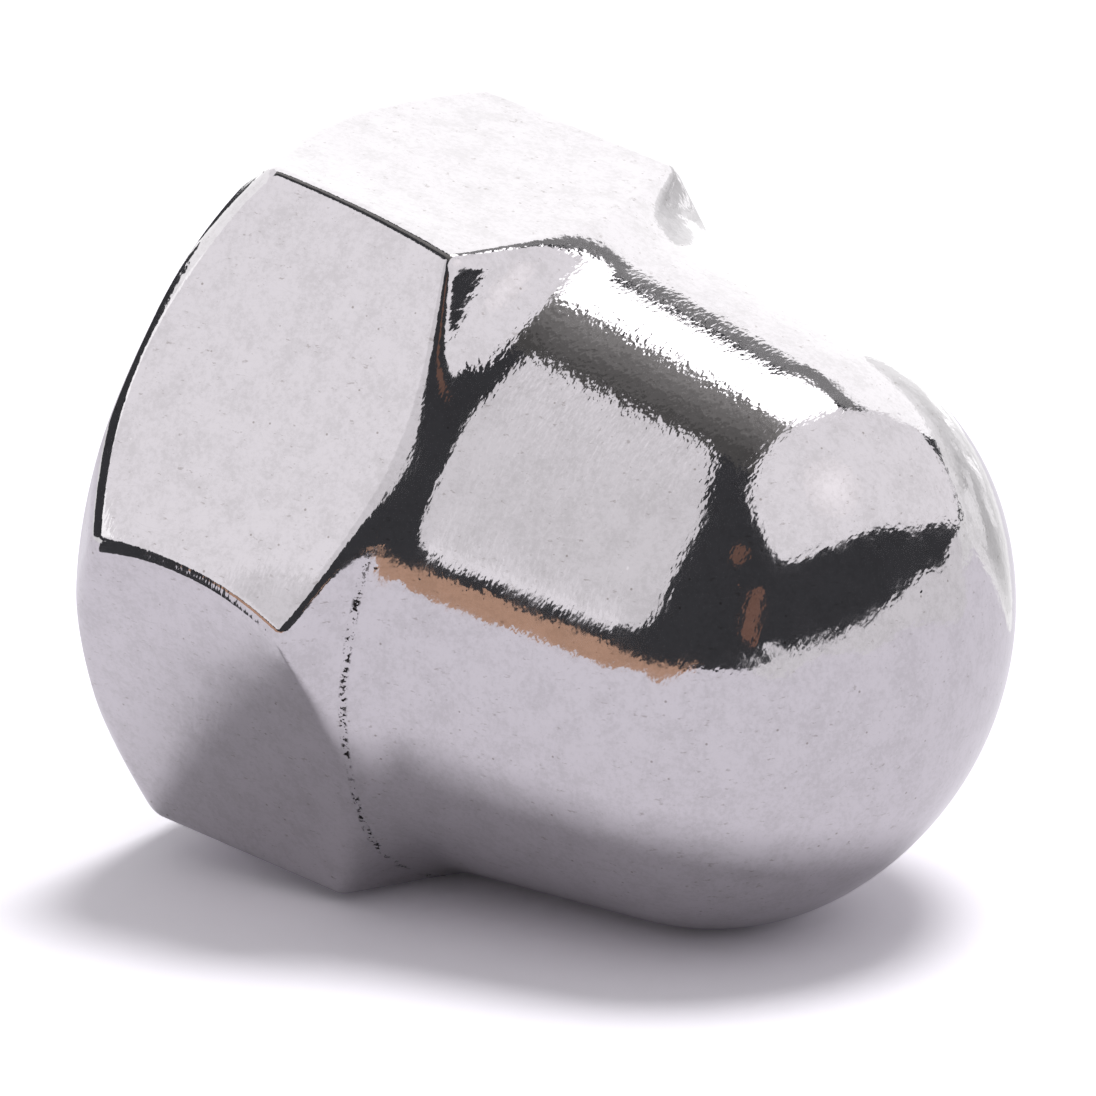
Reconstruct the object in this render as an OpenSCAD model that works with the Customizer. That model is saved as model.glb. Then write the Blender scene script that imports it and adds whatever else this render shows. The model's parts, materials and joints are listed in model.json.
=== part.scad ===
// Domed cap nut (acorn nut) for an M8 screw: a hexagon turned to a chamfer at
// both ends, a slightly tapered dome with a flared foot and a rounded end, and a
// blind threaded bore. It is one solid piece. It lies on one flat and on its dome,
// as it comes to rest when it is put down on its side: the thread axis runs along
// +X and dips a little towards the dome. The centre of the bearing face is the
// origin.

/* [Hexagon] */
// Width across the flats
flats = 13; // [12.8:0.1:14]
// Height of the hexagon, from the bearing face to the foot of the dome
hex_h = 6.3; // [5.6:0.1:6.8]
// Rounding of the six corners
corner_r = 0.45; // [0.2:0.05:1]
// Diameter of the flat ring that bears on the work
bearing_d = 12.9; // [12:0.1:13.2]
// Angle of the turned chamfers, measured from the end faces
chamfer_a = 41; // [25:1:45]

/* [Dome] */
// Diameter of the dome at its foot
dome_d = 12.5; // [12:0.1:12.7]
// Taper of the dome's side, for each side
dome_taper = 7.4; // [4:0.2:9]
// Radius of the fillet that runs from the dome's foot into the chamfer
fillet_r = 1.4; // [0.8:0.1:1.8]
// Radius of the dome's shoulder
shoulder_r = 4.6; // [3.6:0.1:5]
// Radius of the dome's rounded end
nose_r = 6.2; // [5.8:0.1:7.5]
// Height of the whole nut
total_h = 15.3; // [14.8:0.1:17]

/* [Thread] */
// Nominal diameter of the screw that fits
thread_d = 8; // [7.6:0.1:8.2]
// Pitch of the thread
thread_pitch = 1.25; // [1:0.05:1.5]
// Depth of the full thread, from the bearing face
thread_depth = 9.4; // [7:0.1:9.6]
// Width of the run-out groove beyond the thread
groove_w = 1.6; // [1.4:0.1:1.8]
// Depth of the run-out groove beyond the nominal diameter
groove_step = 0.2; // [0.1:0.05:0.3]
// Diameter of the countersink at the mouth
mouth_d = 8.6; // [8.4:0.1:9.2]
// Countersink angle, for each side
mouth_a = 45; // [40:1:60]
// Point angle of the drill that made the blind end
drill_a = 118; // [110:1:130]

/* [Hidden] */
$fn = 96;
eps = 0.0002;
// the hexagon
flat_r = flats / 2;
corner_c = (flat_r - corner_r) / cos(30);
chamfer_rise = tan(chamfer_a);
blank_r = flat_r / cos(30) + 1;
// the dome: a tapered side, a shoulder arc, and an end arc centred on the axis
foot_r = dome_d / 2;
nose_z = total_h - nose_r;
side_n = [cos(dome_taper), sin(dome_taper)];
side_u = [-sin(dome_taper), cos(dome_taper)];
// shoulder centre: shoulder_r inside the side line, nose_r - shoulder_r from the nose centre
start = [foot_r, hex_h - nose_z] - shoulder_r * side_n;
back = start * side_u;
slide = -back + sqrt(back * back - start * start + pow(nose_r - shoulder_r, 2));
shoulder_o = start + slide * side_u;
shoulder_c = shoulder_o + [0, nose_z];
side_end = shoulder_c + shoulder_r * side_n;
nose_dir = shoulder_o / norm(shoulder_o);
nose_start = [0, nose_z] + nose_r * nose_dir;
// the fillet touches the dome's side and the chamfer's line
cone_u = [cos(chamfer_a), -sin(chamfer_a)];
fillet_reach = fillet_r * tan((90 - chamfer_a - dome_taper) / 2);
fillet_top = [foot_r, hex_h] + fillet_reach * side_u;
fillet_low = [foot_r, hex_h] + fillet_reach * cone_u;
fillet_c = fillet_top + fillet_r * side_n;
// the bore
core_r = (thread_d - 1.0825 * thread_pitch) / 2;
mouth_r = mouth_d / 2;
mouth_h = (mouth_r - core_r) / tan(mouth_a);
groove_r = thread_d / 2 + groove_step;
groove_lip = groove_r - core_r;
bore_h = thread_depth + groove_w;
point_h = core_r / tan(drill_a / 2);
// the rest: the lower flat's last point before the dome, which lies on the fillet
// or on the chamfer, and the dome's shoulder arc, both touch the floor
flat_end = flat_r < fillet_low[0]
  ? fillet_c[1] - sqrt(fillet_r * fillet_r - pow(fillet_c[0] - flat_r, 2))
  : hex_h - (flat_r - foot_r) * chamfer_rise;
reach = [shoulder_c[1] - flat_end, flat_r - shoulder_c[0]];
rest_tilt = acos(shoulder_r / norm(reach)) - atan2(reach[0], reach[1]);

// Hexagon with rounded corners, a flat facing +X. The corner circles reach past
// the flats by eps, so that they cross them cleanly.
module hexagon() {
  polygon([
    for (k = [0:5], side = [-30, 30])
      let (a = 30 + 60 * k)
        corner_c * [cos(a), sin(a)] + corner_r * [cos(a + side), sin(a + side)]
  ]);
  for (k = [0:5])
    rotate(30 + 60 * k) translate([corner_c, 0]) circle(r = corner_r + eps);
}

// Half section that the hexagonal bar is turned to: bearing chamfer, dome-side
// chamfer, fillet and dome. The fillet's circle reaches past the lines that it
// touches by eps, so that it crosses them cleanly.
module turned_section() {
  difference() {
    polygon([
      [0, 0],
      [bearing_d / 2, 0],
      [blank_r, (blank_r - bearing_d / 2) * chamfer_rise],
      [blank_r, hex_h - (blank_r - foot_r) * chamfer_rise],
      fillet_low,
      fillet_top,
      side_end,
      nose_start,
      [0, nose_z]
    ]);
    translate(fillet_c) circle(r = fillet_r + eps);
  }
  intersection() {
    translate(shoulder_c) circle(r = shoulder_r);
    translate([0, nose_z]) square([foot_r, nose_r]);
  }
  intersection() {
    translate([0, nose_z]) circle(r = nose_r);
    polygon([
      [0, nose_z],
      [0, nose_z] + 2 * nose_r * nose_dir,
      [0, nose_z + 3 * nose_r]
    ]);
  }
}

// Blind bore: countersunk mouth, core of the thread, run-out groove, drill point
module bore() {
  rotate_extrude()
    polygon([
      [0, -1],
      [mouth_r + tan(mouth_a), -1],
      [core_r, mouth_h],
      [core_r, thread_depth],
      [groove_r, thread_depth + groove_lip],
      [groove_r, bore_h],
      [core_r, bore_h],
      [0, bore_h + point_h]
    ]);
}

// The whole nut, bearing face down on its own axis
module nut_upright() {
  difference() {
    intersection() {
      linear_extrude(height = total_h + 1) hexagon();
      rotate_extrude() turned_section();
    }
    bore();
  }
}

module cap_nut() {
  color([0.80, 0.80, 0.82])
    rotate([0, 90 + rest_tilt, 0])
      nut_upright();
}

cap_nut();
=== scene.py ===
import json
import math

import bmesh
import bpy
import numpy as np
from mathutils import Matrix, Vector
from mathutils.geometry import convex_hull_2d


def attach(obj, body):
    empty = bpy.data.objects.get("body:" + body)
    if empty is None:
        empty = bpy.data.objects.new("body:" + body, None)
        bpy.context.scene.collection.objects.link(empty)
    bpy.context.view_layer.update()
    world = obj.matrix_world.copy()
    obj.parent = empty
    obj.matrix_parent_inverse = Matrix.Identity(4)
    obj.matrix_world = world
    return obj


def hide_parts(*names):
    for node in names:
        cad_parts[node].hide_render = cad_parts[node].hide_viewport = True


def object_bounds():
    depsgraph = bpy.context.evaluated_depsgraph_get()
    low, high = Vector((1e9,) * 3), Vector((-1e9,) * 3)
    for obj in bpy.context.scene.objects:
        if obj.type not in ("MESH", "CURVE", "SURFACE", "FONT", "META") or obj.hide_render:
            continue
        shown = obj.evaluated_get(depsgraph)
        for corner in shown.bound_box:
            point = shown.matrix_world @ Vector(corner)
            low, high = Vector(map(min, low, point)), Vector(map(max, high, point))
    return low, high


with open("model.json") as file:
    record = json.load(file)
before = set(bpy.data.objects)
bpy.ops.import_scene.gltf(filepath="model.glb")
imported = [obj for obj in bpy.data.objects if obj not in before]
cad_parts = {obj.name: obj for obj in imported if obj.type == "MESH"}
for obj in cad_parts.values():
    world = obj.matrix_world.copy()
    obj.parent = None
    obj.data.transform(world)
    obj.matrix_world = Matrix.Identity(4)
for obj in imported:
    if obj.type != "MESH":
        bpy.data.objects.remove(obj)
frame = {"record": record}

# A plated cap nut, lying on one flat and on its dome. The nut is one closed mesh,
# worked out from its radius at each angle and height. It is lit by a plain studio:
# a white world, a key light for the floor's shadow, and cards that only its
# reflections see. The thread's axis and the box come from the CAD model.

LO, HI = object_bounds()
CENTRE = (LO + HI) / 2
RECORD = frame["record"]
MOUTH_AXIS = Vector(next(m["axis"] for m in RECORD["mounts"] if m["name"] == "thread"))
AXIS = -MOUTH_AXIS
TILT = math.atan2(MOUTH_AXIS.z, -MOUTH_AXIS.x)
MM = 0.001

# ---------------------------------------------------------------- sizes, in mm
# the hexagon and the slope of the chamfers at its two ends
FLAT_R = 6.5
HEX_H = 6.3
CORNER_R = 0.45
BEARING_R = 6.45
CHAMFER = math.tan(math.radians(41))
# the dome: its foot, the taper of its side, its shoulder and its rounded end
FOOT_R = 6.25
TAPER = math.radians(7.4)
SHOULDER_R = 4.6
NOSE_R = 6.2
TOTAL = 15.3
# the rounding of the bearing face's rim
EDGE = 0.12
# the edges aren't quite straight: corner angle, then degrees off at the bearing face,
# half way and at the dome
EDGE_BENDS = [(-90, 2.7, -2.6, 6.5), (-150, -2.3, -2.0, 1.9)]
EDGE_BEND_WIDTH = math.radians(9)
# the chamfer on the dome's side is a little hollow, and the dome's foot flares
HOLLOW_R = 5.0
FLARE = math.radians(23.5)
# how softly the parts of the surface run into each other
FLARE_SOFT = 0.09
FOOT_SOFT = 0.16
BEARING_SOFT = 0.3
CHAMFER_SOFT = 0.26
MOUTH_SOFT = 0.1
GROOVE_SOFT = 0.08
# the bore
THREAD_R = 4.0
PITCH = 1.25
CORE_R = THREAD_R - 1.0825 * PITCH / 2
THREAD_END = 9.4
RUN_OUT = 0.8
GROOVE_R = 4.2
BORE_END = 11.0
MOUTH_R = 4.3
POINT_HALF = math.radians(59)
POINT_H = CORE_R / math.tan(POINT_HALF)
# shares of a half pitch: the flat at the thread's crest, and its flank
CREST = 0.25
FLANK = 0.625

# points of the half section are (radius, height above the bearing face)
CORNER_C = (FLAT_R - CORNER_R) / math.cos(math.pi / 6)
NOSE_X = TOTAL - NOSE_R
SIDE_N = np.array([math.cos(TAPER), math.sin(TAPER)])
SIDE_U = np.array([-math.sin(TAPER), math.cos(TAPER)])
FOOT = np.array([FOOT_R, HEX_H])
# the dome's foot flares from FLARE_TOP down to the chamfer at the flat's radius
FOOT_LOW = FOOT + (FLAT_R - FOOT_R) * np.array([1, -CHAMFER])
FLARE_TOP = (
    FOOT_LOW[0] - FOOT_R + FOOT_LOW[1] * math.tan(FLARE) - HEX_H * math.tan(TAPER)
) / (math.tan(FLARE) - math.tan(TAPER))
CORNER_LOW = FOOT + (CORNER_C + CORNER_R - FOOT_R) * np.array([1, -CHAMFER])


def arc_centre(a, b, radius):
    """Centre of the arc from a to b, on the left of the way from a to b."""
    way = b - a
    left = np.array([-way[1], way[0]]) / np.linalg.norm(way)
    return (a + b) / 2 + left * math.sqrt(radius**2 - way @ way / 4)


def shoulder_centre():
    """Centre of the arc that touches the dome's side and the nose's arc."""
    start = np.array([FOOT_R, HEX_H - NOSE_X]) - SHOULDER_R * SIDE_N
    back = start @ SIDE_U
    slide = -back + math.sqrt(back**2 - start @ start + (NOSE_R - SHOULDER_R) ** 2)
    return start + slide * SIDE_U


HOLLOW_C = arc_centre(FOOT_LOW, CORNER_LOW, HOLLOW_R)
SHOULDER = shoulder_centre()
NOSE_ANGLE = math.atan2(SHOULDER[1], SHOULDER[0])
SHOULDER = SHOULDER + np.array([0, NOSE_X])
SIDE_END = SHOULDER[1] + SHOULDER_R * math.sin(TAPER)
NOSE_START = SHOULDER[1] + SHOULDER_R * math.sin(NOSE_ANGLE)


# ---------------------------------------------------------------- the nut's surface
def smooth_min(a, b, k):
    """The smaller value, rounded off where the two are less than k apart."""
    h = np.maximum(k - np.abs(a - b), 0) / k
    return np.minimum(a, b) - h * h * k / 4


def smooth_max(a, b, k):
    """The larger value, rounded off where the two are less than k apart."""
    return -smooth_min(-a, -b, k)


def hexagon(th):
    """Radius of the hexagon with rounded corners; flats at 0, 60, ... degrees."""
    ph = np.abs((th + math.pi / 6) % (math.pi / 3) - math.pi / 6)
    d = math.pi / 6 - ph
    flat = FLAT_R / np.cos(ph)
    arc = CORNER_C * np.cos(d) + np.sqrt(
        np.maximum(CORNER_R**2 - (CORNER_C * np.sin(d)) ** 2, 0)
    )
    return np.where(FLAT_R * np.tan(ph) <= CORNER_C / 2, flat, arc)


def turned(x):
    """Radius of the turned profile: hollow chamfer, flared foot, side, dome."""
    chamfer = HOLLOW_C[0] - np.sqrt(np.maximum(HOLLOW_R**2 - (x - HOLLOW_C[1]) ** 2, 0))
    foot = FOOT_LOW[0] - (x - FOOT_LOW[1]) * math.tan(FLARE)
    side = smooth_max(FOOT_R - (x - HEX_H) * math.tan(TAPER), foot, FLARE_SOFT)
    side = smooth_max(side, np.where(x < FLARE_TOP, chamfer, 0), FOOT_SOFT)
    shoulder = SHOULDER[0] + np.sqrt(
        np.maximum(SHOULDER_R**2 - (x - SHOULDER[1]) ** 2, 0)
    )
    nose = np.sqrt(np.maximum(NOSE_R**2 - (x - NOSE_X) ** 2, 0))
    return np.select([x < SIDE_END, x < NOSE_START], [side, shoulder], nose)


def bend(th, x):
    """How far the worn edges wander round the nut at a height, in radians."""
    t = np.clip(2 * x / HEX_H - 1, -1, 1)
    total = 0
    for degrees, tip, middle, foot in EDGE_BENDS:
        gap = (th - math.radians(degrees) + math.pi) % (2 * math.pi) - math.pi
        near = np.exp(-((gap / EDGE_BEND_WIDTH) ** 2))
        path = middle * (1 - t * t) + tip * t * (t - 1) / 2 + foot * t * (t + 1) / 2
        total = total + near * np.radians(path)
    return total


def outer(th, x):
    """Radius of the outer surface at an angle and a height above the bearing face."""
    r = smooth_min(hexagon(th - bend(th, x)), BEARING_R + x / CHAMFER, BEARING_SOFT)
    r = smooth_min(r, turned(x), CHAMFER_SOFT)
    t = 1 - np.clip(x / EDGE, 0, 1)
    return r - EDGE * (1 - np.sqrt(np.maximum(1 - t * t, 0)))


def inner(th, x):
    """Radius of the bore: countersink, right-hand thread, run-out groove."""
    turn = (x / PITCH - th / (2 * math.pi)) % 1.0
    tooth = np.clip((np.abs(turn - 0.5) * 2 - CREST) / FLANK, 0, 1)
    fade = np.clip((BORE_END - x) / RUN_OUT, 0, 1)
    r = CORE_R + (THREAD_R - CORE_R) * tooth * fade
    r = smooth_max(r, MOUTH_R - x, MOUTH_SOFT)
    lip = np.minimum(CORE_R + (x - THREAD_END), GROOVE_R)
    return smooth_max(r, lip, GROOVE_SOFT)


def to_row(th, r, x):
    """Nut coordinates, a flat facing down at angle 0, to the lying row frame."""
    ct, st = math.cos(TILT), math.sin(TILT)
    down, side = r * np.cos(th), r * np.sin(th)
    return np.stack([x * ct - down * st, side, -x * st - down * ct], -1) * MM


def axis_point(x):
    """The point on the nut's axis at a height above the bearing face."""
    return to_row(np.array(0.0), 0.0, np.array(x))


ALONG = axis_point(1.0) / MM
# the step over which a slope is measured, in mm and in radians
SLOPE_STEP = 2e-4


def surface(fn, th, x, flip):
    """Points and normals of a surface of radius fn(angle, height)."""
    e = SLOPE_STEP
    p = to_row(th, fn(th, x), x)
    x0, x1 = np.maximum(x - e, 0), x + e
    du = to_row(th + e, fn(th + e, x), x) - to_row(th - e, fn(th - e, x), x)
    dv = to_row(th, fn(th, x1), x1) - to_row(th, fn(th, x0), x0)
    n = np.cross(du, dv)
    n /= np.linalg.norm(n, axis=-1, keepdims=True) + 1e-20
    return p, n * flip


# ---------------------------------------------------------------- the nut's mesh
FLAT_COLUMNS = 26
CORNER_COLUMNS = 13
# how far the closer rows reach to each side of a chamfer and of the flare, in mm
CHAMFER_REACH = 0.28
FLARE_REACH = 0.3
# the least distance between two of the heights that bands of rows end at, in mm
BAND_GAP = 0.01
# rows in each band from the bearing face to above the flare
BAND_ROWS = [6, 8, 14, 10, 16, 8, 12]
SIDE_ROWS = 14
SHOULDER_ROWS = 20
NOSE_ROWS = 34
# the bearing face's rings, as shares of the way in to just outside the mouth
FACE_RINGS = (0.34, 0.67, 1.0)
FACE_LIP = 0.04
# heights that the bore's bands of rows end at, in mm, and the rows in each
BORE_BANDS = [0.0, 0.3, THREAD_END + 0.4, BORE_END - 0.02]
BORE_ROWS = [8, 156, 14]
# the drill point's rings, as shares of its height
POINT_RINGS = (0.02, 0.35, 0.7)


def columns():
    """Angles round the nut, closer at the corners."""
    out = []
    half = math.atan(CORNER_C / 2 / FLAT_R)
    corner = np.linspace(-1, 1, CORNER_COLUMNS)[1:-1] * (math.pi / 6 - half)
    for k in range(6):
        mid = k * math.pi / 3
        out += list(mid + np.linspace(-half, half, FLAT_COLUMNS))
        out += list(mid + math.pi / 6 + corner)
    return np.array(out)


def outer_rows(th):
    """Heights of the outer rows, one column of values for each angle."""
    reach = hexagon(th)
    low = (reach - BEARING_R) * CHAMFER
    high = HEX_H - (reach - FOOT_R) * CHAMFER
    marks = [
        np.zeros_like(th),
        np.full_like(th, EDGE),
        np.maximum(low - CHAMFER_REACH, EDGE + BAND_GAP),
        np.maximum(low + CHAMFER_REACH, EDGE + 3 * BAND_GAP),
        high - CHAMFER_REACH,
        high + CHAMFER_REACH,
        np.full_like(th, FLARE_TOP - FLARE_REACH),
        np.full_like(th, FLARE_TOP + FLARE_REACH),
    ]
    rows = [marks[0]]
    for n, a, b in zip(BAND_ROWS, marks, marks[1:]):
        for i in range(1, n + 1):
            t = i / n
            # closer rows where the rim starts to turn
            if a is marks[0]:
                t = 1 - math.cos(t * math.pi / 2)
            rows.append(a + (b - a) * t)
    side = np.linspace(FLARE_TOP + FLARE_REACH, SIDE_END, SIDE_ROWS)[1:]
    turn = np.linspace(TAPER, NOSE_ANGLE, SHOULDER_ROWS)[1:]
    shoulder = SHOULDER[1] + SHOULDER_R * np.sin(turn)
    turn = np.linspace(NOSE_ANGLE, math.pi / 2, NOSE_ROWS)[1:-1]
    nose = NOSE_X + NOSE_R * np.sin(turn)
    rows += [np.full_like(th, v) for v in np.concatenate([side, shoulder, nose])]
    return np.array(rows)


def outer_skin(th):
    """Rows from the dome's tip to the bearing face, on columns that follow the bends."""
    rows = outer_rows(th)
    points, normals = surface(outer, th + bend(th, rows), rows, 1.0)
    return points[::-1], normals[::-1]


def bearing_face(th):
    """Rings from the rim in to the mouth."""
    rim = outer(th, np.zeros_like(th))
    rings = [rim * (1 - t) + (MOUTH_R + FACE_LIP) * t for t in FACE_RINGS]
    points = np.array([to_row(th, r, np.zeros_like(th)) for r in rings])
    return points, np.broadcast_to(-ALONG, points.shape)


def bore_skin(th):
    """Rows from the mouth to the end of the groove, close together on the thread."""
    bands = zip(BORE_BANDS, BORE_BANDS[1:], BORE_ROWS)
    x = np.unique(np.concatenate([np.linspace(a, b, n) for a, b, n in bands]))
    x = np.broadcast_to(x[:, None], (len(x), len(th)))
    return surface(inner, np.broadcast_to(th, x.shape), x, -1.0)


def drill_point(th):
    """The groove's end, and the cone that the drill left."""
    n = len(th)
    rings = [(GROOVE_R, BORE_END), (CORE_R, BORE_END)]
    rings += [(CORE_R * (1 - t), BORE_END + POINT_H * t) for t in POINT_RINGS]
    points = np.array([to_row(th, np.full(n, r), np.full(n, x)) for r, x in rings])
    cone = to_row(th, np.full(n, -math.cos(POINT_HALF)), np.zeros(n)) / MM
    cone = cone - ALONG * math.sin(POINT_HALF)
    level = np.broadcast_to(-ALONG, cone.shape)
    return points, np.array([level, level, cone, cone, cone])


def closed_faces(rows, n):
    """Quads between rows of n points, and a fan to the tip and to the bore's end."""
    tip, end = rows * n, rows * n + 1
    last = (rows - 1) * n
    ring = [(j, (j + 1) % n) for j in range(n)]
    faces = []
    for a in range(0, last, n):
        b = a + n
        faces += [(a + j, b + j, b + k, a + k) for j, k in ring]
    faces += [(tip, j, k) for j, k in ring]
    faces += [(end, last + k, last + j) for j, k in ring]
    return faces


def build_nut():
    """One closed mesh: dome, hexagon, bearing face, bore and drill point."""
    th = columns()
    skins = [outer_skin(th), bearing_face(th), bore_skin(th), drill_point(th)]
    points = np.concatenate([p for p, _ in skins])
    normals = np.concatenate([n for _, n in skins])
    ends = [axis_point(TOTAL), axis_point(BORE_END + POINT_H)]
    verts = np.vstack([points.reshape(-1, 3), *ends])
    normals = np.vstack([normals.reshape(-1, 3), ALONG, -ALONG])
    me = bpy.data.meshes.new("nut_plated")
    me.from_pydata(verts.tolist(), [], closed_faces(len(points), len(th)))
    me.validate()
    me.update()
    me.shade_smooth()
    me.normals_split_custom_set_from_vertices(normals.tolist())
    ob = bpy.data.objects.new("nut_plated", me)
    bpy.context.scene.collection.objects.link(ob)
    return ob


# ---------------------------------------------------------------- materials
METAL = (0.645, 0.622, 0.645, 1)
METAL_DULL = (0.560, 0.540, 0.556, 1)
SPECK = (0.20, 0.17, 0.15, 1)
# near-black of the crumbs in the crevice round the dome's foot, on the nut's lower half
CREVICE_COLOUR = (0.02, 0.018, 0.018, 1)
# how much the coarse clouds add to the fine ones, and how strong the marks are
MOTTLE = 0.6
SCRATCH_STRENGTH = 0.35
FLECK_STRENGTH = 0.4
SPECK_STRENGTH = 0.6
# heights of the surface detail, in mm
RIPPLE = 0.003
RAGGED = 0.0045
SWELL = 0.004
DENT = 0.004
# where the ripple is strongest, on the dome's upper side, and its reach, in mm
RAGGED_AT = (9.6, -2.8, 3.9)
RAGGED_CORE = 1.5
RAGGED_REACH = 4.0
# the dark crevice line's height above the bearing face, just under the foot of the dome, in
# mm
CREVICE = 6.12
# roughness where the plating is glossiest, and how much the clouds and the dark crevice
# line add
ROUGH = 0.05
ROUGH_MORE = 0.05
ROUGH_CREVICE = 0.4


class Wires:
    """A short way to add shader nodes; sockets and plain numbers both fit as inputs."""

    def __init__(self, tree):
        self.tree = tree

    def add(self, kind, inputs=(), out=0, **settings):
        """Add a node and give its output, or the node itself where out is None."""
        nd = self.tree.nodes.new(kind)
        for key, value in settings.items():
            setattr(nd, key, value)
        for key, value in dict(inputs).items():
            if isinstance(value, bpy.types.NodeSocket):
                self.tree.links.new(value, nd.inputs[key])
            else:
                nd.inputs[key].default_value = value
        return nd if out is None else nd.outputs[out]

    def math(self, operation, *values):
        return self.add("ShaderNodeMath", enumerate(values), operation=operation)

    def vector(self, operation, values, out=0):
        return self.add("ShaderNodeVectorMath", values, out=out, operation=operation)

    def shift(self, at, x, y, z):
        return self.vector("ADD", {0: at, 1: (x, y, z)})

    def noise(self, at, scale, detail=2.0, roughness=0.5):
        return self.add("ShaderNodeTexNoise", {
            "Vector": at, "Scale": scale, "Detail": detail, "Roughness": roughness,
        })

    def ramp(self, value, low, high):
        """0 at low, 1 at high and beyond it, smooth between; low may be the larger."""
        return self.add(
            "ShaderNodeMapRange", {0: value, 1: low, 2: high},
            interpolation_type="SMOOTHSTEP",
        )

    def blend(self, factor, a, b):
        return self.add(
            "ShaderNodeMix", {0: factor, 6: a, 7: b}, out=2, data_type="RGBA"
        )

    def dots(self, at, scale, size, share, soft=0.5):
        """Round spots of a size in mm, on a share of the cells of a Voronoi pattern."""
        cell = self.add("ShaderNodeTexVoronoi", {"Vector": at, "Scale": scale}, out=None)
        spot = self.ramp(cell.outputs["Distance"], size * scale, size * scale * soft)
        pick = self.add("ShaderNodeSeparateColor", {0: cell.outputs["Color"]})
        return self.math("MULTIPLY", spot, self.math("LESS_THAN", pick, share))


def relief(w, at, axial):
    """Ripple that is finer along the nut than round it, swells and small dents."""
    long = w.vector("MULTIPLY_ADD", {0: axial, 1: AXIS, 2: at})
    ripple = w.noise(long, scale=6.0, detail=1.5)
    reach = w.vector("DISTANCE", {0: at, 1: RAGGED_AT}, out=1)
    near = w.ramp(reach, RAGGED_REACH, RAGGED_CORE)
    ragged = w.math("MULTIPLY_ADD", near, RAGGED, RIPPLE)
    swell = w.noise(w.shift(at, 5.0, 1.0, 3.0), scale=1.8, detail=0.0)
    at = w.shift(at, 9.0, 2.0, 4.0)
    dents = w.dots(at, scale=2.6, size=0.06, share=0.12, soft=0.1)
    height = w.math("MULTIPLY", ripple, ragged)
    height = w.math("MULTIPLY_ADD", swell, SWELL, height)
    height = w.math("MULTIPLY_ADD", dents, -DENT, height)
    return w.add("ShaderNodeBump", {"Strength": 1.0, "Distance": MM, "Height": height})


def smudges(w, at):
    """Two tones of metal, clouded at a fine and at a coarse scale."""
    cloud = w.noise(at, scale=9.0, detail=5.0, roughness=0.8)
    at = w.shift(at, 8.0, 3.0, 6.0)
    mottle = w.noise(at, scale=1.6, detail=3.0, roughness=0.6)
    cloud = w.math("MULTIPLY_ADD", w.math("SUBTRACT", mottle, 0.5), MOTTLE, cloud)
    return w.blend(w.ramp(cloud, 0.3, 0.62), METAL_DULL, METAL)


def scratches(w, at, tint):
    """Faint hairlines along the nut, where a drawn-out noise crosses its middle."""
    grain = w.shift(w.vector("MULTIPLY", {0: at, 1: (0.3, 5.0, 5.0)}), 3.0, 2.0, 9.0)
    line = w.math("SUBTRACT", w.noise(grain, scale=1.0, detail=0.0), 0.5)
    line = w.ramp(w.math("ABSOLUTE", line), 0.008, 0.0)
    return w.blend(w.math("MULTIPLY", line, SCRATCH_STRENGTH), tint, METAL_DULL)


def flecks(w, at, tint):
    """Long brownish flecks and small round specks."""
    lean = w.shift(w.vector("MULTIPLY", {0: at, 1: (2.2, 2.2, 5.5)}), 4.0, 4.0, 8.0)
    fleck = w.ramp(w.noise(lean, scale=2.2, detail=3.0, roughness=0.65), 0.63, 0.72)
    tint = w.blend(w.math("MULTIPLY", fleck, FLECK_STRENGTH), tint, SPECK)
    specks = w.dots(w.shift(at, 2.0, 8.0, 5.0), scale=3.2, size=0.032, share=0.35)
    return w.blend(w.math("MULTIPLY", specks, SPECK_STRENGTH), tint, SPECK)


def crevice_line(w, at, axial):
    """Near-black crumbs in a line round the dome's foot, in patches, on the lower half."""
    band = w.math("ABSOLUTE", w.math("SUBTRACT", axial, CREVICE))
    crumbs = w.ramp(w.noise(at, scale=9.0, roughness=0.7), 0.5, 0.6)
    patch = w.noise(w.shift(at, 6.0, 3.0, 2.0), scale=0.7, detail=1.0)
    height = w.add("ShaderNodeSeparateXYZ", {0: at}, out=2)
    patch = w.math("MULTIPLY", w.ramp(patch, 0.36, 0.46), w.ramp(height, 1.2, 0.2))
    return w.math("MULTIPLY", w.ramp(band, 0.09, 0.03), w.math("MULTIPLY", crumbs, patch))


def roughness(w, at, crevice_dark):
    """A gloss that clouds over a little, and is lost on the dark crevice line."""
    rough = w.ramp(w.noise(w.shift(at, 1.0, 6.0, 7.0), scale=2.0), 0.3, 0.8)
    rough = w.math("MULTIPLY_ADD", rough, ROUGH_MORE, ROUGH)
    return w.math("MULTIPLY_ADD", crevice_dark, ROUGH_CREVICE, rough)


def plating():
    """Bright plating over turned steel, worked out in mm from the nut's own place."""
    mat = bpy.data.materials.new("plated_steel")
    mat.use_nodes = True
    w = Wires(mat.node_tree)
    place = w.add("ShaderNodeTexCoord", out=3)
    at = w.vector("SCALE", {0: place, 3: 1 / MM})
    axial = w.vector("DOT_PRODUCT", {0: at, 1: AXIS}, out=1)
    crevice_dark = crevice_line(w, at, axial)
    tint = flecks(w, at, scratches(w, at, smudges(w, at)))
    # near-black crumbs in the crevice round the dome's foot, on the lower half only
    tint = w.blend(crevice_dark, tint, CREVICE_COLOUR)

    bsdf = w.tree.nodes["Principled BSDF"]
    bsdf.inputs["Metallic"].default_value = 1.0
    w.tree.links.new(tint, bsdf.inputs["Base Color"])
    w.tree.links.new(roughness(w, at, crevice_dark), bsdf.inputs["Roughness"])
    w.tree.links.new(relief(w, at, axial), bsdf.inputs["Normal"])
    return mat


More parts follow.
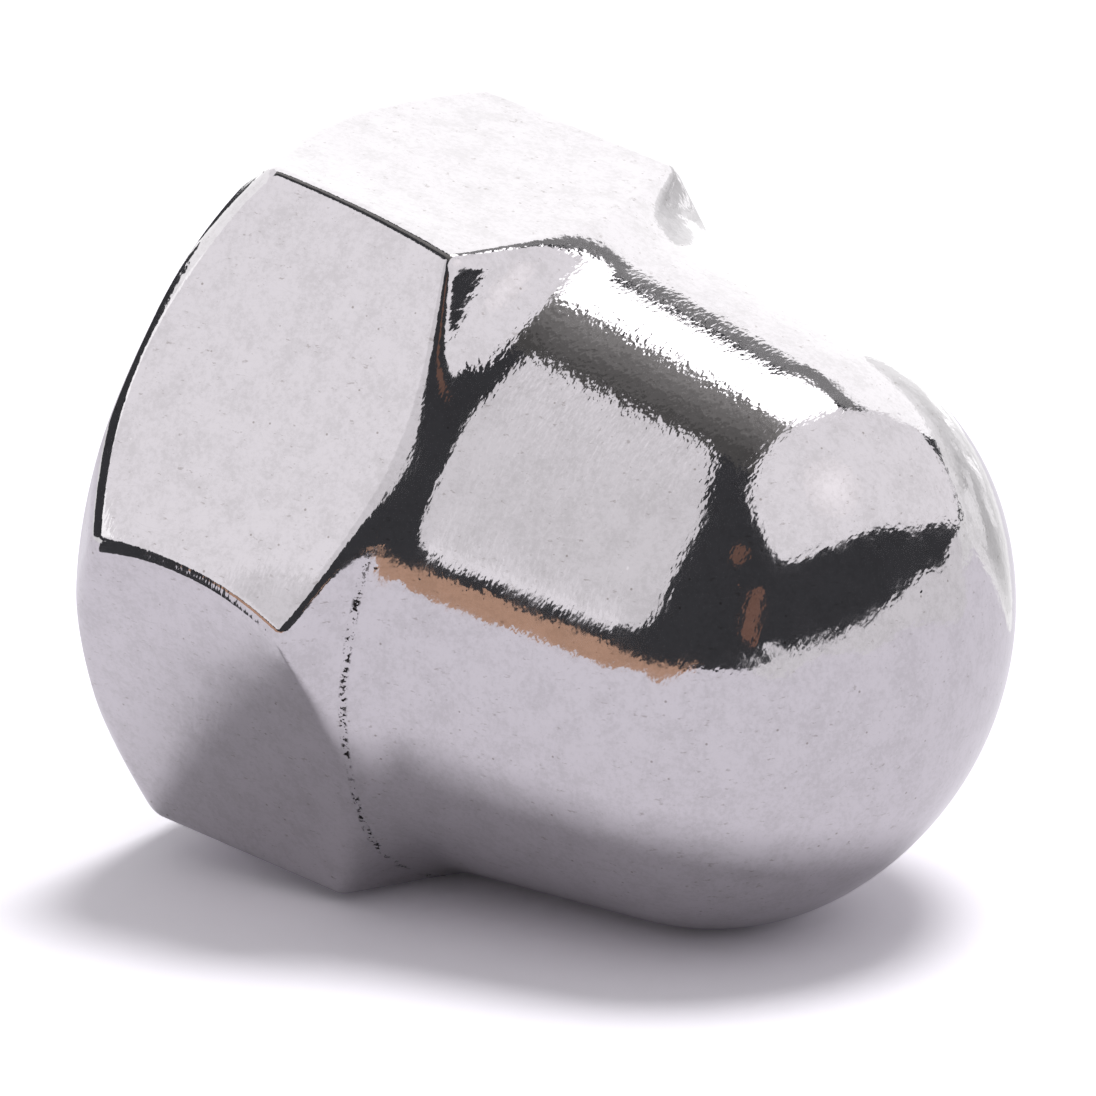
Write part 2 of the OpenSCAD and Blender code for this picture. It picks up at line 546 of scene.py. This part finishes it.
# ---------------------------------------------------------------- stage
# the floor's colour, and a lighter one for the camera, to which the lit floor is white
FLOOR = (0.885, 0.857, 0.92, 1)
FLOOR_SEEN = (1.27, 1.235, 1.31, 1)
# half the floor's side, in m
FLOOR_HALF = 0.6
# share of the floor's light that comes from the sky; the rest comes from the key
SKY = 0.44
KEY_ANGLE = math.radians(25)

# Directions in the studio are seen from above, in degrees away from straight up:
# (towards +X, towards +Y). The horizon is the circle of radius 90.
KEY_FROM = (6, 8)
# how far from the nut the cards stand, and how much farther for each layer, in m
STAGE_R = 0.55
LAYER_GAP = 0.005
# how high above the floor the cards below the horizon lie, and how much lower for
# each layer, in m
FLOOR_GAP = 0.0004
FLOOR_LAYER_GAP = 0.00002


def direction(u, v):
    """Unit vector of a direction in the studio."""
    th = math.radians(math.hypot(u, v))
    az = math.atan2(u, v)
    return Vector((math.sin(az) * math.sin(th), math.cos(az) * math.sin(th), math.cos(th)))


def new_object(data):
    """An object in the scene, named after its mesh, light or camera."""
    ob = bpy.data.objects.new(data.name, data)
    bpy.context.scene.collection.objects.link(ob)
    return ob


def empty_material(name):
    """A material with no nodes yet, and its wires."""
    mat = bpy.data.materials.new(name)
    mat.use_nodes = True
    mat.node_tree.nodes.clear()
    return mat, Wires(mat.node_tree)


def build_floor(z):
    me = bpy.data.meshes.new("floor")
    s = FLOOR_HALF
    me.from_pydata([(-s, -s, z), (s, -s, z), (s, s, z), (-s, s, z)], [], [(0, 1, 2, 3)])
    mat, w = empty_material("floor")
    seen = w.add("ShaderNodeLightPath", out="Is Camera Ray")
    paint = w.add("ShaderNodeBsdfDiffuse", {"Color": w.blend(seen, FLOOR, FLOOR_SEEN)})
    w.add("ShaderNodeOutputMaterial", {"Surface": paint}, out=None)
    me.materials.append(mat)
    new_object(me)


def outline(discs):
    """The band round a set of discs (u, v, radius), as a convex outline."""
    pts = []
    for u, v, r in discs:
        n = max(12, round(2 * r))
        for k in range(n):
            a = k * 2 * math.pi / n
            pts.append(Vector((u + r * math.cos(a), v + r * math.sin(a))))
    return [pts[i] for i in convex_hull_2d(pts)]


def flat_card(discs, step):
    """The outline filled with triangles whose edges are at most step degrees long."""
    bm = bmesh.new()
    bm.faces.new([bm.verts.new((p.x, p.y, 0)) for p in outline(discs)])
    bmesh.ops.triangulate(bm, faces=bm.faces)
    while True:
        long = [e for e in bm.edges if e.calc_length() > step]
        if not long:
            return bm
        bmesh.ops.subdivide_edges(bm, edges=long, cuts=1)
        bmesh.ops.triangulate(bm, faces=bm.faces)


def card(name, colour, discs, layer, step=8):
    """A studio card, a rounded shape that only the nut's reflections see.

    Cards with a lower layer stand in front of the others. What would be under the
    floor lies just above it.
    """
    bm = flat_card(discs, step)
    lowest = LO.z - CENTRE.z + FLOOR_GAP
    for v in bm.verts:
        ray = direction(v.co.x, v.co.y)
        reach = STAGE_R + LAYER_GAP * layer
        if ray.z * reach < lowest:
            reach = (lowest - FLOOR_LAYER_GAP * layer) / ray.z
        v.co = CENTRE + ray * reach
    me = bpy.data.meshes.new(name)
    bm.to_mesh(me)
    bm.free()
    ob = new_object(me)
    ob.visible_camera = ob.visible_diffuse = ob.visible_shadow = False
    mat, w = empty_material(name)
    glow = w.add("ShaderNodeEmission", {"Color": (*colour, 1)})
    w.add("ShaderNodeOutputMaterial", {"Surface": glow}, out=None)
    mat.cycles.emission_sampling = "NONE"
    me.materials.append(mat)


def grey(v, tint=(1.0, 1.0, 1.0)):
    return tuple(v * c for c in tint)


LAVENDER = (0.99, 0.973, 0.995)
WARM = (1.02, 1.0, 0.97)
ROSY = (1.0, 0.975, 0.99)
DARK = grey(0.055, (0.95, 0.97, 1.05))
BROWN = (0.62, 0.385, 0.27)


def build_world():
    """White for the camera and for reflections, dimmer as a light on the floor."""
    world = bpy.data.worlds.new("studio")
    world.use_nodes = True
    bpy.context.scene.world = world
    w = Wires(world.node_tree)
    path = w.add("ShaderNodeLightPath", out=None)
    seen = w.math("MAXIMUM", path.outputs["Is Camera Ray"], path.outputs["Is Glossy Ray"])
    strength = w.math("MULTIPLY_ADD", seen, 1 - SKY, SKY)
    bg = world.node_tree.nodes["Background"]
    bg.inputs["Color"].default_value = (1, 1, 1, 1)
    world.node_tree.links.new(strength, bg.inputs["Strength"])


def build_key():
    """A wide soft light from above and behind, which gives the floor its shadow."""
    key = bpy.data.lights.new("key", "SUN")
    key.angle = KEY_ANGLE
    lean = direction(*KEY_FROM)
    key.energy = (1 - SKY) * math.pi / lean.z
    ob = new_object(key)
    ob.rotation_euler = lean.to_track_quat("Z", "Y").to_euler()
    ob.visible_glossy = False


def left_cards():
    """The dark wall on the left and the bright panels in front of it."""
    card("edge_flag", DARK, [(-21, -2, 7)], 0)
    card("glow_left", grey(1.5), [(-42, -41, 4), (-46, -33, 4)], 0)
    card("bounce_left", grey(1.25), [
        (-42, -36, 4), (-55, -16, 6), (-66, 15, 7), (-68, 50, 7),
    ], 1)
    card("room_left", DARK, [
        (-72, 62, 5), (-78, 20, 8), (-80, -10, 8), (-68, -30, 7), (-52, -41, 4),
    ], 2)


def softboxes():
    """The pale softboxes, seen on the large flat and in two patches on the dome."""
    card("softbox_right", grey(1.1, LAVENDER), [
        (21, 20, 8), (22, 64, 9), (31, 65, 12), (44, 43, 13), (48.5, 9, 14),
        (47, -10, 13), (29, -12, 6), (24, 0, 7),
    ], 3)
    for k, value in enumerate((1.14, 1.19, 1.24, 1.29)):
        card(f"softbox_glow_{k}", grey(value, ROSY), [(42, 15, 12 - 3 * k)], 2 - 0.3 * k)
    card("softbox_top", grey(0.93, LAVENDER), [
        (9, -36, 6), (7, -55, 7), (0, -66, 13), (2, -40, 6), (0, -14, 4),
    ], 3)
    card("softbox_middle", grey(1.0, LAVENDER), [
        (-2, -65, 14), (-6, -66, 12), (-4, -40, 6), (-6, -8, 3), (0, -14, 4),
    ], 4)
    card("softbox_left", grey(1.12, LAVENDER), [
        (-20, -66, 13), (-38, -44, 7), (-30, -20, 8), (-8, -8, 3), (-4, -66, 12),
    ], 5)
    card("side_panel", grey(1.12, LAVENDER), [
        (-46, 10, 14), (-54, 35, 8), (-42, -28, 8),
    ], 5)


def back_cards():
    """The strip light above and the bright wall behind, seen on the upper side."""
    card("strip_light", grey(2.5), [(-2, 29, 12), (6, 29, 12), (12, 22, 4)], 5)
    card("back_low", grey(1.5), [(-55, 30, 12), (-26, 33, 13)], 6)
    card("back_gap", grey(0.3), [(-12, 44, 4), (10, 45, 3)], 6.5)
    # a dimmer far end, which fades into the wall
    for k, value in enumerate((0.68, 0.78, 0.89, 1.0, 1.12)):
        card(f"far_wall_{k}", grey(value), [
            (10 - 7 * k, 88 - k, 6 + 1.2 * k), (20, 91, 6 + 2.5 * k),
        ], 6.1 + 0.05 * k)
    card("back_wall", grey(1.5), [
        (-60, 60, 14), (2, 60, 14), (-5, 80, 14), (-80, 80, 14), (-60, 40, 8),
    ], 7)


def room_cards():
    """The dark room round the lights, its brown bench and its pale right wall."""
    # the dark above the nut thins out towards the strip light
    for k, value in enumerate((0.30, 0.22, 0.15, 0.10)):
        v = 14 - 6 * k
        card(f"overhead_{k}", grey(value, WARM), [(-26, v, 4), (17, v, 4)], 8)
    card("brown_near", (0.23, 0.13, 0.10), [(57, -40, 4), (70, -50, 1), (62, -52, 2)], 9)
    card("brown_far", (0.19, 0.11, 0.085), [(38, -35, 4)], 9)
    card("room", DARK, [
        (11, -9.5, 79), (62, -12, 22), (60, 8, 23), (55, 28, 20.5), (45, 50, 18),
        (30, 64, 14), (22, 68, 13),
    ], 10)
    card("wall_right", grey(0.9, LAVENDER), [(62, -30, 29), (64, 10, 31), (50, 50, 27)], 12)
    card("bench_left", DARK, [(-44, -72, 10), (-62, -80, 10)], 10)
    card("bench", BROWN, [
        (-32, -74, 13), (-8, -79, 14), (25, -79, 14), (43, -71, 10),
    ], 11, step=1.5)


def build_studio():
    build_world()
    build_key()
    left_cards()
    softboxes()
    back_cards()
    room_cards()


# the camera: turn round the nut, height and roll in degrees, aim in mm, distance in m
CAMERA_TURN = (33.289, 17.743, 1.012)
CAMERA_AIM = (6.393, -0.553, -0.873)
CAMERA_REACH = 0.33019
CAMERA_LENS = 586.76


def build_camera():
    """Camera at the photograph's angle, about 33 cm from the nut."""
    az, el, roll = map(math.radians, CAMERA_TURN)
    back = Vector((math.sin(az) * math.cos(el), -math.cos(az) * math.cos(el), math.sin(el)))
    level = Vector((math.cos(az), math.sin(az), 0))
    right = level * math.cos(roll) + back.cross(level) * math.sin(roll)
    frame_axes = Matrix((right, back.cross(right), back)).transposed().to_4x4()
    frame_axes.translation = Vector(CAMERA_AIM) * MM + back * CAMERA_REACH
    cam = new_object(bpy.data.cameras.new("camera"))
    cam.matrix_world = frame_axes
    cam.data.sensor_width = 36
    cam.data.lens = CAMERA_LENS
    cam.data.clip_start, cam.data.clip_end = 0.01, 5
    bpy.context.scene.camera = cam


nut = build_nut()
nut.data.materials.append(plating())
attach(nut, "root")
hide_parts("cap_nut")
build_floor(LO.z)
build_studio()
build_camera()
bpy.context.scene.view_settings.view_transform = "Standard"
